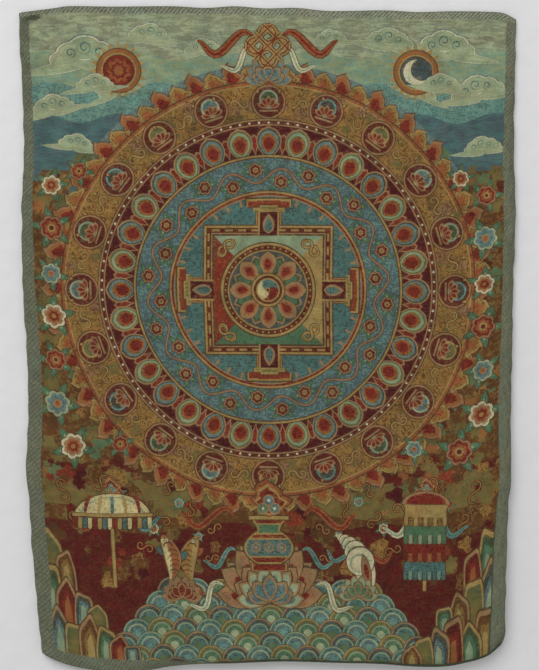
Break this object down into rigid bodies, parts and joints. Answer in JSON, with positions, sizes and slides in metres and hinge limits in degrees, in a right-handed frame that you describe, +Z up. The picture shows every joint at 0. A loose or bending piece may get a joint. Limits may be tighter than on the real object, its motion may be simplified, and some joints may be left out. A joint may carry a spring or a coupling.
{
  "type": "brocade thangka wall hanging",
  "caption": "Upright woven brocade picture cloth with a plain twill margin, hung by its top edge, its lower hem curling softly back.",
  "frame": {"origin": "middle of the top edge, in the middle of the cloth's thickness", "axes": "+Z up along the hanging cloth, -Y the way its face looks, +X to the right as seen from its face"},
  "size_m": [0.3017, 0.0131, 0.4065],
  "materials": {
    "brocade": "matt picture-woven brocade in maroon, gold, teal, blue, green and cream, with a grey-green twill margin"
  },
  "bodies": {
    "root": {"thangka_cloth": "brocade"}
  },
  "joints": []
}
